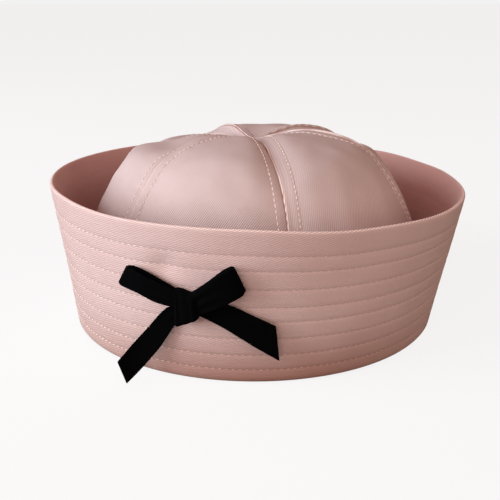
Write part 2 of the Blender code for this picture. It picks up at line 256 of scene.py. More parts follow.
def arc_points(middle_radius, middle_height, size, start, end, steps):
    """Points on an arc of the band's cut section: angles in degrees from straight out, counted upward."""
    angles = [math.radians(start + (end - start) * step / steps) for step in range(steps + 1)]
    return [(middle_radius + size * math.cos(angle), middle_height + size * math.sin(angle))
            for angle in angles]


def make_object(name, shape, material):
    """Turns a bmesh into an object of one material."""
    mesh = bpy.data.meshes.new(name)
    shape.to_mesh(mesh)
    shape.free()
    mesh.materials.append(material)
    made = bpy.data.objects.new(name, mesh)
    bpy.context.scene.collection.objects.link(made)
    return made


def finish_piece(name, shape, material, slot_name, *nodes):
    """Turns a bmesh into a smooth piece that rides on the cap and stands for CAD nodes."""
    for face in shape.faces:
        face.smooth = True
    piece = make_object(name, shape, material)
    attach(piece, "root")
    if nodes:
        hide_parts(*nodes)
    return piece


# The cut section, from the foot up the outer face, over the rim, down the inner face, through the fold's
# channel, over the turn-in and round the bottom of the fold
RIM_BEAD = BRIM_WALL / 2
lowest = FOLD_RADIUS / BRIM_HEIGHT
highest = 1 - RIM_BEAD / BRIM_HEIGHT
bead_radius = FOOT_RADIUS + FLARE * highest - RIM_BEAD
bead_height = BRIM_HEIGHT - RIM_BEAD
# The even rings keep clear of those at the stitch rows
row_clearance = ROW_OFFSETS[-1] * 1.3
even_shares = [lowest + (highest - lowest) * step / WALL_STEPS for step in range(WALL_STEPS + 1)]
clear_shares = [share for share in even_shares
                if min(abs(share - row) for row in STITCH_ROWS) * BRIM_HEIGHT > row_clearance]
row_shares = [row + offset / BRIM_HEIGHT for row in STITCH_ROWS for offset in ROW_OFFSETS]
wall_shares = sorted(clear_shares + row_shares)
section = [(FOOT_RADIUS + FLARE * share - row_pull(share), share * BRIM_HEIGHT) for share in wall_shares]
section += arc_points(bead_radius, bead_height, RIM_BEAD, 0, 180, 10)[1:]
section += [(FOOT_RADIUS - BRIM_WALL + FLARE * share + row_pull(share) * INNER_PULL, share * BRIM_HEIGHT)
            for share in reversed(wall_shares[1:-1]) if share * BRIM_HEIGHT > BRIM_WALL * 1.4]
channel = FOLD_GAP / 2
turn_in = BRIM_WALL / 2
section += arc_points(HEAD_RADIUS + BRIM_WALL + channel, BRIM_WALL + channel, channel, 0, -180, 6)
section += arc_points(HEAD_RADIUS + turn_in, TURN_IN_HEIGHT - turn_in, turn_in, 0, 180, 6)
section += arc_points(HEAD_RADIUS + FOLD_RADIUS, FOLD_RADIUS, FOLD_RADIUS, 180, 270, 5)
section += arc_points(FOOT_RADIUS - FOLD_RADIUS, FOLD_RADIUS, FOLD_RADIUS, 270, 360, 5)[:-1]


def brim_wear_and_painted_light(radius, height):
    """Rub with painted highlight, painted shade and rib clarity of the cloth at a point of the cut section.
    """
    # The rim's bead is rubbed pale and painted with highlight
    rub_and_highlight = 0
    if height > BRIM_HEIGHT - RIM_BEAD * 1.05:
        around = math.degrees(math.atan2(height - bead_height, radius - bead_radius))
        rub_and_highlight = RIM_RUB_AND_HIGHLIGHT * max(0, 1 - ((around - RIM_RUB_AND_HIGHLIGHT_ANGLE) / RIM_RUB_AND_HIGHLIGHT_REACH) ** 2)
    # Painted shade along the stitch rows on the outer face
    in_rows = sum(bump_at((height / BRIM_HEIGHT - row) * BRIM_HEIGHT, ROW_REACH) for row in STITCH_ROWS)
    if radius > FOOT_RADIUS + FLARE * height / BRIM_HEIGHT - BRIM_WALL / 2:
        return rub_and_highlight, ROW_SHADE * in_rows, 1.0, 0.0
    # The inner face gets painted deep red shade, less where it is rubbed pale at the rim
    return rub_and_highlight, 0.0, INNER_RIBS + (1 - INNER_RIBS) * rub_and_highlight, INNER_PAINTED_SHADE * (1 - rub_and_highlight)


brim_shape = bmesh.new()
drawn_length = brim_shape.verts.layers.float.new("drawn_length")
wear_and_painted_light = brim_shape.verts.layers.float_color.new("wear_and_painted_light")
corners = [brim_shape.verts.new((0, -radius, height)) for radius, height in section]
for corner in corners:
    corner[wear_and_painted_light] = brim_wear_and_painted_light(-corner.co.y, corner.co.z)
for before, corner in zip(corners, corners[1:]):
    corner[drawn_length] = before[drawn_length] + (corner.co - before.co).length * 1000
ring = [brim_shape.edges.new(pair) for pair in zip(corners, corners[1:] + corners[:1])]
# One sixteenth of the band is spun in small steps, and then copied round
bmesh.ops.spin(brim_shape, geom=corners + ring, cent=(0, 0, 0), axis=(0, 0, 1), angle=math.tau / 16,
               steps=BRIM_STEPS // 16)
sixteenth = list(brim_shape.verts) + list(brim_shape.edges) + list(brim_shape.faces)
bmesh.ops.spin(brim_shape, geom=sixteenth, cent=(0, 0, 0), axis=(0, 0, 1), angle=math.tau * 15 / 16,
               steps=15, use_duplicate=True)
bmesh.ops.remove_doubles(brim_shape, verts=brim_shape.verts, dist=0.00001)
bmesh.ops.recalc_face_normals(brim_shape, faces=brim_shape.faces)
# Painted shade on the outer face's foot, most at the front
for vertex in brim_shape.verts:
    height = vertex.co.z
    wall_middle = FOOT_RADIUS + FLARE * height / BRIM_HEIGHT - BRIM_WALL / 2
    if vertex.co.xy.length > wall_middle and height < FOOT_SHADE_HEIGHT:
        turned = math.atan2(vertex.co.x, -vertex.co.y) - FOOT_SHADE_AZIMUTH
        facing = max(0, math.cos(turned)) ** FOOT_SHADE_ROUND
        foot_shade = FOOT_PAINTED_SHADE * facing * (1 - height / FOOT_SHADE_HEIGHT) ** FOOT_SHADE_UPWARD
        vertex[wear_and_painted_light].y = min(1, vertex[wear_and_painted_light].y + foot_shade)
section_length = max(vertex[drawn_length] for vertex in brim_shape.verts)
cloth_mm = brim_shape.loops.layers.uv.new("cloth_mm")
for face in brim_shape.faces:
    middle = face.calc_center_median()
    there = math.atan2(middle.x, -middle.y)
    # The faces that close the section run on past its end, not back to its start
    closing = max(loop.vert[drawn_length] for loop in face.loops) > section_length - 0.01
    for loop in face.loops:
        turn = math.atan2(loop.vert.co.x, -loop.vert.co.y) - there
        azimuth = there + math.atan2(math.sin(turn), math.cos(turn))
        up = loop.vert[drawn_length]
        if closing and up < 1:
            up += section_length + 0.5
        loop[cloth_mm].uv = (azimuth * BRIM_ARC_RADIUS * 1000, up)
settle_brim(brim_shape)

rib_spacing = math.tau * BRIM_ARC_RADIUS * 1000 * math.sin(BRIM_RIB_ANGLE) / BRIM_RIB_COUNT
# The brim's valley colour is painted shade between the ribs
brim_twill = cotton_twill("row_stitched_cotton_twill", BRIM_RIB_ANGLE, rib_spacing,
                          "#E3C7C3", "#C3A19D", "#E8CFCB", 0.22)
brim = finish_piece("brim_band", brim_shape, brim_twill, "twill_brim", "brim")


# The brim's stitching. Eight rows of lockstitch in pale cotton-wrapped thread hold the band's layers
# together. They show as short dashes that dip into the cloth at both ends, on its outer and its inner face.

STITCHES_ROUND = 200
STITCH_LENGTH = 0.0022
THREAD_RADIUS = 0.00018
# A stitch rises by this much from its middle to its end, and each row starts so many radians further round
STITCH_RISE = 0.00008
ROW_START = 0.011
# Between these azimuths in degrees the thread is pulled tightest, and sinks the stitches by this much
TIGHT_FROM = -34
TIGHT_TO = 125
TIGHT_FADE = 6
TIGHT_DEPTH = 0.00021


def sewing_thread(name, hex_colour, shaded_hex):
    """Cotton-wrapped sewing thread: paler and smoother than the twill, with a slight silky bloom."""
    material, tree, shader = start_material(name, {
        "Roughness": 0.62, "IOR": 1.50, "Specular IOR Level": 0.35,
        "Sheen Weight": 0.25, "Sheen Roughness": 0.40})
    place = add_node(tree, "ShaderNodeTexCoord", {}, {})
    # Ply of the thread, about 0.4 mm
    ply = add_node(tree, "ShaderNodeTexNoise", {"Scale": 2400, "Detail": 1.0},
                   {"Vector": place.outputs["Object"]})
    shaded = add_node(tree, "ShaderNodeMix",
                      {"data_type": "RGBA", 6: linear(hex_colour), 7: linear(shaded_hex)},
                      {0: ply.outputs["Fac"]})
    raised = add_node(tree, "ShaderNodeBump", {"Strength": 0.4, "Distance": 0.00008},
                      {"Height": ply.outputs["Fac"]})
    tree.links.new(shaded.outputs[2], shader.inputs["Base Color"])
    tree.links.new(raised.outputs["Normal"], shader.inputs["Normal"])
    return material


def add_stitch(shape, start, end, thickness):
    """One stitch: a slim grain of thread from start to end."""
    run = end - start
    turn = run.to_track_quat("X", "Z").to_matrix().to_4x4()
    size = Matrix.Diagonal((run.length / 2, thickness, thickness, 1))
    bmesh.ops.create_uvsphere(shape, u_segments=6, v_segments=4, radius=1,
                              matrix=Matrix.Translation((start + end) / 2) @ turn @ size)


def join_into(whole, part):
    """Adds a finished line of stitches to the rest."""
    carrier = bpy.data.meshes.new("carrier")
    part.to_mesh(carrier)
    part.free()
    whole.from_mesh(carrier)
    bpy.data.meshes.remove(carrier)


def tighten(shape):
    """Sinks the stitches into the cloth round the front and the right, where the thread is tightest."""
    for vertex in shape.verts:
        degrees = math.degrees(math.atan2(vertex.co.x, -vertex.co.y))
        entered = 1 + math.exp((TIGHT_FROM - degrees) / TIGHT_FADE)
        tight = 1 / entered / (1 + math.exp((degrees - TIGHT_TO) / TIGHT_FADE))
        radius = vertex.co.xy.length
        vertex.co.xy *= (radius - TIGHT_DEPTH * tight) / radius


brim_thread = sewing_thread("pale_pink_sewing_thread", "#FFF3EF", "#E6CCC6")
for side, name in ((1, "brim_stitching_outside"), (-1, "brim_stitching_inside")):
    stitching = bmesh.new()
    for number, share in enumerate(STITCH_ROWS):
        face_radius = FOOT_RADIUS + FLARE * share - (0 if side > 0 else BRIM_WALL)
        radius = face_radius - side * (ROW_DEPTH - THREAD_RADIUS * 0.5)
        start = Vector((-STITCH_LENGTH / 2, -radius, share * BRIM_HEIGHT - STITCH_RISE))
        end = Vector((STITCH_LENGTH / 2, -radius, share * BRIM_HEIGHT + STITCH_RISE))
        row = bmesh.new()
        add_stitch(row, start, end, THREAD_RADIUS if side > 0 else THREAD_RADIUS * 0.5)
        bmesh.ops.rotate(row, verts=row.verts, cent=(0, 0, 0),
                         matrix=Matrix.Rotation(ROW_START * number, 3, "Z"))
        bmesh.ops.spin(row, geom=list(row.verts) + list(row.edges) + list(row.faces), cent=(0, 0, 0),
                       axis=(0, 0, 1), angle=math.tau * (STITCHES_ROUND - 1) / STITCHES_ROUND,
                       steps=STITCHES_ROUND - 1, use_duplicate=True)
        join_into(stitching, row)
    if side > 0:
        tighten(stitching)
    settle_brim(stitching)
    finish_piece(name, stitching, brim_thread, "twill_brim")


# The crown. Six wedges of cotton twill are sewn together edge to edge. Each one's left edge laps over its
# neighbour, the seam allowances make a flat strip along both sides of the seam, and the cloth puffs up
# between the strips.

CROWN_HEIGHT = 0.0905
CROWN_WALL = 0.0012
TIP_RADIUS = 0.0002
CLEARANCE = 0.0003
CROWN_RADIUS = HEAD_RADIUS + (BRIM_WALL + CROWN_WALL) / 2
CROWN_FOOT = TURN_IN_HEIGHT + CLEARANCE
GORE_STEPS_ACROSS = 84
GORE_STEPS_DOWN = 120
# The top's puffs give way to the side's from this section row on, over as many rows again
TOP_ROWS = 3
# The cloth's slope is read this far above and below a point, and its relief fades out over these distances at
# the foot and at the tip, all in section rows
SECTION_STEP = 0.2
FOOT_FADE = 0.6
TIP_FADE = 0.5

# Each gore's left seam and the gore itself: where the seam runs, how far it is lifted from the seams' line
# towards the crest's, how far the gore puffs up on top and down the side, how thick its lapped edge is, how
# wide the strip is and how far it is pinched in, the thread's radius, and how clearly the cloth's ribs show
GORES = (
    {"seam_azimuth": -48.5, "lift": 0.85, "top": 1.00, "side": 1.00, "lap": 0.0004, "strip": 0.0042,
     "pinch": 0.0011, "thread": 0.00024, "ribbed": 1.00},
    {"seam_azimuth": 12.4, "lift": 0.05, "top": 1.00, "side": 1.40, "lap": 0.0008, "strip": 0.0052,
     "pinch": 0.0, "thread": 0.00028, "ribbed": 0.45},
    {"seam_azimuth": 76.0, "lift": 1.10, "top": 0.10, "side": 1.33, "lap": 0.0004, "strip": 0.0050,
     "pinch": 0.0004, "thread": 0.00018, "ribbed": 0.50},
    {"seam_azimuth": 127.0, "lift": 0.88, "top": 0.66, "side": 1.00, "lap": 0.0003, "strip": 0.0050,
     "pinch": 0.0, "thread": 0.00018, "ribbed": 0.50},
    {"seam_azimuth": 205.0, "lift": 0.66, "top": -0.35, "side": 1.31, "lap": 0.0002, "strip": 0.0050,
     "pinch": 0.0, "thread": 0.00018, "ribbed": 0.50},
    {"seam_azimuth": 252.9, "lift": 0.08, "top": 0.42, "side": 1.58, "lap": 0.0004, "strip": 0.0050,
     "pinch": 0.0006, "thread": 0.00020, "ribbed": 0.60},
)
# A gore stays full for most of its width, and turns down towards its seams by this power
PUFF_POWER = 2.5

# The crown's section from the tip to the foot, as shares of its radius and height: the puffed crest, the
# seam's line, and how many times the brim's lean to the left each row takes
CROWN_SECTIONS = (
    {"crest_radius": 0.000, "crest_height": 1.000, "seam_radius": 0.000, "seam_height": 1.000, "shift": 1.42},
    {"crest_radius": 0.132, "crest_height": 1.040, "seam_radius": 0.146, "seam_height": 1.006, "shift": 1.30},
    {"crest_radius": 0.286, "crest_height": 1.075, "seam_radius": 0.300, "seam_height": 1.004, "shift": 1.10},
    {"crest_radius": 0.440, "crest_height": 1.060, "seam_radius": 0.424, "seam_height": 0.971, "shift": 1.00},
    {"crest_radius": 0.571, "crest_height": 1.015, "seam_radius": 0.549, "seam_height": 0.923, "shift": 1.00},
    {"crest_radius": 0.665, "crest_height": 0.944, "seam_radius": 0.648, "seam_height": 0.860, "shift": 1.00},
    {"crest_radius": 0.737, "crest_height": 0.844, "seam_radius": 0.725, "seam_height": 0.782, "shift": 1.00},
    {"crest_radius": 0.803, "crest_height": 0.738, "seam_radius": 0.786, "seam_height": 0.686, "shift": 1.00},
    {"crest_radius": 0.863, "crest_height": 0.620, "seam_radius": 0.841, "seam_height": 0.570, "shift": 1.00},
    {"crest_radius": 0.913, "crest_height": 0.495, "seam_radius": 0.890, "seam_height": 0.445, "shift": 1.00},
    {"crest_radius": 0.953, "crest_height": 0.345, "seam_radius": 0.937, "seam_height": 0.320, "shift": 1.00},
    {"crest_radius": 0.984, "crest_height": 0.180, "seam_radius": 0.974, "seam_height": 0.168, "shift": 1.00},
    {"crest_radius": 1.000, "crest_height": 0.000, "seam_radius": 1.000, "seam_height": 0.000, "shift": 1.00},
)

# How far a gore's left edge laps over its neighbour, how soon that fades inward, and how round that edge is
LAP_REACH = 0.0007
LAP_FADE = 0.004
LAP_ROUNDING = 0.0016
# The ditches that the seam and the thread pull, and how wide they are
SEAM_DITCH = 0.00035
SEAM_REACH = 0.0011
THREAD_DITCH = 0.00018
THREAD_REACH = 0.0007
# A strip is never wider than this share of the gore
STRIP_SHARE = 0.36
# How far the columns crowd towards the seams, where the strips and the stitches are
CROWDING = 0.72
# How clearly the ribs show on top, the section row from which they stand out more, and over how many rows
NAPPED = 0.15
RIBS_START = 6.0
RIBS_FADE = 2.2
# The allowances under the strip lift it by this much, and the step at their edge is this soft
ALLOWANCE_LIFT = 0.00040
ALLOWANCE_STEP = 0.0004
# Some strips are pinched in near the top, about this section row, over this share of a row each way and over
# this width
PINCH_ROW = 3.9
PINCH_REACH = 0.75
PINCH_WIDTH = 0.0022
# The cloth puckers beside the thread by up to this much, over this width, in waves of this length. A section
# row is about 7.5 mm long
PUCKER = 0.00028
PUCKER_REACH = 0.0045
PUCKER_LENGTH = 0.0038636
ROW_LENGTH = 0.0075
# The soft dents of worn cloth: how deep, and how many waves to a metre
SOFT_DENTS = ((0.0013, 30), (0.0005, 85))
# How pale the lapped edge is rubbed and painted with highlight where the lap is full, and less where the
# strip is pinched in
EDGE_RUB_AND_HIGHLIGHT = 0.9
FULL_LAP = 0.0008
EDGE_RUB_AND_HIGHLIGHT_REACH = 0.0008
FULL_PINCH = 0.0011
PINCHED_RUB_AND_HIGHLIGHT = 0.8
# Painted shade: how much darker the cloth is painted in the seam's ditch, along the thread and on the strip
SEAM_SHADE = 0.90
SHADE_REACH = 0.0010
THREAD_SHADE = 0.10
STRIP_SHADE = 0.02
SHADE_STEP = 0.0003


def smooth_value(rows, key, position):
    """Reads a column at a fractional row number, along a curve through its values."""
    last = len(rows) - 1
    low = min(int(position), last - 1)
    share = position - low
    before = rows[max(low - 1, 0)][key]
    start = rows[low][key]
    end = rows[low + 1][key]
    after = rows[min(low + 2, last)][key]
    bend = 2 * before - 5 * start + 4 * end - after
    twist = 3 * start - before - 3 * end + after
    return start + 0.5 * share * (end - before + share * (bend + share * twist))


read_rows = {}


def crown_row(position):
    """The crown's section at a fractional row number, kept once it has been read."""
    if position not in read_rows:
        read_rows[position] = {key: smooth_value(CROWN_SECTIONS, key, position) for key in CROWN_SECTIONS[0]}
    return read_rows[position]


class Gore:
    """One wedge between its left and right seams, with a place for each share down, across and through it."""

    def __init__(self, number):
        self.left = GORES[number - 1]
        self.right = GORES[number % len(GORES)]
        self.start = math.radians(self.left["seam_azimuth"])
        self.sweep = math.radians((self.right["seam_azimuth"] - self.left["seam_azimuth"]) % 360)
        # The gore starts at this fractional row, where the section is as wide as the tip
        self.first = TIP_RADIUS / CROWN_RADIUS / CROWN_SECTIONS[1]["crest_radius"]
        self.last = len(CROWN_SECTIONS) - 1

    def position(self, down):
        """The fractional row number at a share of the way from the tip to the foot."""
        return self.first + down * (self.last - self.first)

    def width(self, position):
        """How wide the gore is at a fractional row."""
        return self.section(position, 0.5).x * self.sweep

    def strips(self, width):
        """How far the topstitching lies from the left and the right seam, less where the gore is narrow."""
        return min(self.left["strip"], STRIP_SHARE * width), min(self.right["strip"], STRIP_SHARE * width)

    def section(self, position, across):
        """Radius, height and shift on the puffed surface."""
        row = crown_row(position)
        puff = 1 - abs(2 * across - 1) ** PUFF_POWER
        lift = self.left["lift"] + (self.right["lift"] - self.left["lift"]) * across
        share = min(max((position - TOP_ROWS) / TOP_ROWS, 0), 1)
        down_side = share * share * (3 - 2 * share)
        swell = self.left["top"] + (self.left["side"] - self.left["top"]) * down_side
        crest_share = swell * puff + lift * (1 - puff)
        reach = row["seam_radius"] + (row["crest_radius"] - row["seam_radius"]) * crest_share
        rise = row["seam_height"] + (row["crest_height"] - row["seam_height"]) * crest_share
        height = CROWN_FOOT + (CROWN_HEIGHT - CROWN_FOOT) * rise
        return Vector((CROWN_RADIUS * reach, height, row["shift"]))

    def relief(self, from_left, from_right, width, position):
        """How far the cloth stands off that surface for its seams, stitches and puckers."""
        left_strip, right_strip = self.strips(width)
        wave = noise.noise((position * ROW_LENGTH / PUCKER_LENGTH, self.start * 3, 0))
        pinched = bump_at(position - PINCH_ROW, PINCH_REACH)
        off = 0
        for distance, offset, seam, side in ((from_left, left_strip, self.left, 1),
                                             (from_right, right_strip, self.right, -1)):
            off -= seam["pinch"] * pinched * bump_at(distance - 0.35 * offset, PINCH_WIDTH)
            off += ALLOWANCE_LIFT / (1 + math.exp((distance - offset) / ALLOWANCE_STEP))
            off -= THREAD_DITCH * bump_at(distance - offset, THREAD_REACH)
            off += PUCKER * wave * side * bump_at(distance - offset * 1.2, PUCKER_REACH)
            if side > 0:
                off += seam["lap"] * bump_at(distance, LAP_ROUNDING)
            else:
                off -= (SEAM_DITCH + seam["lap"] * 0.3) * bump_at(distance, SEAM_REACH)
        return off

    def wear_and_painted_light(self, down, across):
        """Folded edge rubbed pale with painted highlight, painted shade at seam and thread, and rib clarity.
        """
        position = self.position(down)
        width = self.width(position)
        from_left, from_right = across * width, (1 - across) * width
        # The lapped left edge is rubbed pale and painted with highlight
        rub_and_highlight = EDGE_RUB_AND_HIGHLIGHT * min(self.left["lap"] / FULL_LAP, 1) * bump_at(from_left, EDGE_RUB_AND_HIGHLIGHT_REACH)
        pinched = bump_at(position - PINCH_ROW, PINCH_REACH)
        rub_and_highlight *= 1 - PINCHED_RUB_AND_HIGHLIGHT * self.left["pinch"] / FULL_PINCH * pinched
        # Painted shade in the ditch at the right seam, along both threads and on both strips
        painted_shade = SEAM_SHADE * bump_at(from_right, SHADE_REACH)
        for distance, offset in zip((from_left, from_right), self.strips(width)):
            painted_shade += (THREAD_SHADE * bump_at(distance - offset, THREAD_REACH)
                     + STRIP_SHADE / (1 + math.exp((distance - offset) / SHADE_STEP)))
        share = min(max((position - RIBS_START) / RIBS_FADE, 0), 1)
        return rub_and_highlight, min(painted_shade, 1), NAPPED + (self.left["ribbed"] - NAPPED) * share, 0.0

    def place(self, down, across, depth):
        """Point of the gore in the row frame."""
        position = self.position(down)
        outer = self.section(position, across)
        upper = self.section(max(position - SECTION_STEP, self.first), across)
        lower = self.section(min(position + SECTION_STEP, self.last), across)
        run = (lower.xy - upper.xy).normalized()
        width = outer.x * self.sweep
        fade = min(1, (self.last - position) / FOOT_FADE, (position - self.first) / TIP_FADE)
        relief = self.relief(across * width, (1 - across) * width, width, position) * fade
        here = Vector((outer.x * math.sin(self.start + self.sweep * across),
                       outer.x * math.cos(self.start + self.sweep * across), outer.y))
        soft = sum(dent * noise.noise(here * waves) for dent, waves in SOFT_DENTS)
        off = relief + soft * fade * (1 - abs(2 * across - 1) ** 3) - depth * CROWN_WALL
        radius = outer.x - off * run.y
        height = max(outer.y + off * run.x, CROWN_FOOT)
        overlap = LAP_REACH * fade * bump_at(across * width, LAP_FADE)
        azimuth = self.start + self.sweep * across - overlap / radius
        lean = FOOT_LEAN * outer.z
        return Vector((radius * math.sin(azimuth) - lean, -radius * math.cos(azimuth), height)) + CAP_MIDDLE


# The real ribs are about 0.6 mm apart, and are drawn at 0.9 mm so that they show
CROWN_RIB_ANGLE = math.radians(63)
CROWN_RIB_SPACING_MM = 0.90
# Painted light: a paler, cooler face than the brim's for the cool light on the crown, and painted valley
# shade
crown_twill = cotton_twill("crown_cotton_twill", CROWN_RIB_ANGLE, CROWN_RIB_SPACING_MM,
                           "#F3E2E1", "#704C46", "#DECBCA", 0.08)
gores = [Gore(number) for number in range(1, len(GORES) + 1)]
for number, gore in enumerate(gores, 1):
    middle = [gore.place(step / GORE_STEPS_DOWN, 0.5, 0) for step in range(GORE_STEPS_DOWN + 1)]
    lengths = [0.0]
    for before, point in zip(middle, middle[1:]):
        lengths.append(lengths[-1] + (point - before).length * 1000)

    wedge = bmesh.new()
    flat_place = wedge.verts.layers.float_vector.new("flat_place")
    wear_and_painted_light = wedge.verts.layers.float_color.new("wear_and_painted_light")
    borders = []
    for depth in (0, 1):
        grid = bmesh.ops.create_grid(wedge, x_segments=GORE_STEPS_DOWN, y_segments=GORE_STEPS_ACROSS,
                                     size=0.5)
        rim_edges = {edge for vertex in grid["verts"] for edge in vertex.link_edges if edge.is_boundary}
        borders += rim_edges
        for vertex in grid["verts"]:
            down, column = vertex.co.x + 0.5, vertex.co.y + 0.5
            across = column - CROWDING * math.sin(math.tau * column) / math.tau
            vertex.co = gore.place(down, across, depth)
            vertex[wear_and_painted_light] = gore.wear_and_painted_light(down, across)
            reach = (vertex.co - CAP_MIDDLE).xy.length
            along = lengths[-1] - lengths[round(down * GORE_STEPS_DOWN)]
            vertex[flat_place] = ((across - 0.5) * gore.sweep * reach * 1000, along, 0)
    bmesh.ops.bridge_loops(wedge, edges=borders)
    bmesh.ops.recalc_face_normals(wedge, faces=wedge.faces)
    cloth_mm = wedge.loops.layers.uv.new("cloth_mm")
    for face in wedge.faces:
        for loop in face.loops:
            loop[cloth_mm].uv = loop.vert[flat_place].xy
    piece = finish_piece(f"crown_gore_{number}", wedge, crown_twill, "twill_crown", f"gore_{number}")
    width = CROWN_RADIUS * gore.sweep


# The crown's topstitching. One line of lockstitch in cream thread runs on each side of every seam, through
# the cloth and the allowances under it, from near the tip to near the foot.

TOPSTITCH_PITCH = 0.0027
TOPSTITCH_LENGTH = 0.0021
TOPSTITCH_START = 0.055
TOPSTITCH_RUN = 0.90
TRAIL_STEPS = 600
# The middle of a thread of this radius lies in the cloth's face. One that is thicker by so much stands off it
# by this share of the cloth's thickness
FLUSH_THREAD = 0.00016
THREAD_GAIN = 0.00012
THREAD_STAND = 0.16

topstitching = bmesh.new()
for gore in gores:
    for from_left, seam in ((True, gore.left), (False, gore.right)):
        stand = THREAD_STAND * (seam["thread"] - FLUSH_THREAD) / THREAD_GAIN
        line = bmesh.new()
        trail = []
        for step in range(TRAIL_STEPS):
            down = TOPSTITCH_START + TOPSTITCH_RUN * step / (TRAIL_STEPS - 1)
            width = gore.width(gore.position(down))
            left_strip, right_strip = gore.strips(width)
            trail.append((down, left_strip / width if from_left else 1 - right_strip / width))
        travelled = 0.0
        before = gore.place(*trail[0], -stand)
        start = None
        for down, across in trail[1:]:
            point = gore.place(down, across, -stand)
            travelled += (point - before).length
            before = point
            if start is None and travelled > TOPSTITCH_PITCH - TOPSTITCH_LENGTH:
                start = point
            elif travelled > TOPSTITCH_PITCH:
                add_stitch(line, start, point, seam["thread"])
                travelled = 0.0
                start = None
        join_into(topstitching, line)
cream_thread = sewing_thread("cream_sewing_thread", "#FFF6F0", "#EAD2C8")
finish_piece("crown_topstitching", topstitching, cream_thread, "twill_crown")


# The bow. A short length of black velvet ribbon is tied flat and sewn to the brim's front left. Two loops and
# two tails come out from under the wrapped knot.

RIBBON_WALL = 0.0010
BOW_AZIMUTH = math.radians(-16.0)
BOW_HEIGHT = 0.0395
BOW_RADIUS = FOOT_RADIUS + FLARE * BOW_HEIGHT / BRIM_HEIGHT
LOOP_BULGE = 0.0044
RIBBON_EDGE = 0.00032
# Soft folds where the ribbon enters the knot: how deep, how many across, and over which share of its length
LOOP_FOLD = 0.0005
LOOP_FOLDS = 2.5
LOOP_FOLD_REACH = 0.38
TAIL_FOLD = 0.0003
TAIL_FOLDS = 2
TAIL_FOLD_REACH = 0.25
# How much narrower a loop is where it turns back, and over which share of its length
BEND_ROUNDING = 0.14
BEND_REACH = 0.06
RIBBON_STEPS = 12
LOOP_STEPS = 96
TAIL_STEPS = 60

# Where the ribbon's upper and lower edges lie on the wall, in millimetres round it from the bow's middle and
# up from there
EDGE_COLUMNS = ("upper_arc", "upper_rise", "lower_arc", "lower_rise")
LEFT_LOOP = (
    {"upper_arc": -2.0, "upper_rise": 5.4, "lower_arc": -3.0, "lower_rise": -1.4},
    {"upper_arc": -11.0, "upper_rise": 9.2, "lower_arc": -12.6, "lower_rise": 0.1},
    {"upper_arc": -17.6, "upper_rise": 12.0, "lower_arc": -20.8, "lower_rise": 3.3},
    {"upper_arc": -25.4, "upper_rise": 14.6, "lower_arc": -31.4, "lower_rise": 5.0},
)
RIGHT_LOOP = (
    {"upper_arc": 1.0, "upper_rise": 5.0, "lower_arc": 4.0, "lower_rise": -4.2},
    {"upper_arc": 8.8, "upper_rise": 11.3, "lower_arc": 12.4, "lower_rise": -0.2},
    {"upper_arc": 13.9, "upper_rise": 16.0, "lower_arc": 18.5, "lower_rise": 3.7},
    {"upper_arc": 18.6, "upper_rise": 19.3, "lower_arc": 23.8, "lower_rise": 7.3},
)
# How each loop runs out along the wall and back over itself, and how far it bulges
LOOP_PATH = (
    {"along": 0.00, "stand_off": 0.30},
    {"along": 0.35, "stand_off": 0.08},
    {"along": 0.72, "stand_off": 0.06},
    {"along": 0.95, "stand_off": 0.20},
    {"along": 1.00, "stand_off": 0.50},
    {"along": 0.93, "stand_off": 0.80},
    {"along": 0.68, "stand_off": 1.00},
    {"along": 0.34, "stand_off": 0.92},
    {"along": 0.00, "stand_off": 0.68},
)
# The tails stand off the wall by so many millimetres
LEFT_TAIL = (
    {"upper_arc": -1.5, "upper_rise": -0.5, "lower_arc": 1.0, "lower_rise": -7.5, "stand_off": 0.0},
    {"upper_arc": -10.4, "upper_rise": -4.0, "lower_arc": -6.0, "lower_rise": -10.9, "stand_off": 1.2},
    {"upper_arc": -18.2, "upper_rise": -13.4, "lower_arc": -13.3, "lower_rise": -22.6, "stand_off": 4.3},
    {"upper_arc": -24.2, "upper_rise": -21.6, "lower_arc": -20.4, "lower_rise": -32.6, "stand_off": 8.5},
    {"upper_arc": -28.5, "upper_rise": -29.4, "lower_arc": -25.2, "lower_rise": -39.7, "stand_off": 15.0},
)
RIGHT_TAIL = (
    {"upper_arc": 0.0, "upper_rise": 1.0, "lower_arc": -0.6, "lower_rise": -4.6, "stand_off": 0.0},
    {"upper_arc": 8.0, "upper_rise": 1.4, "lower_arc": 6.0, "lower_rise": -6.5, "stand_off": 0.8},
    {"upper_arc": 17.9, "upper_rise": 0.1, "lower_arc": 15.8, "lower_rise": -11.2, "stand_off": 1.5},
    {"upper_arc": 26.8, "upper_rise": -4.0, "lower_arc": 26.9, "lower_rise": -18.4, "stand_off": 2.2},
    {"upper_arc": 36.5, "upper_rise": -8.9, "lower_arc": 39.1, "lower_rise": -26.2, "stand_off": 3.0},
)


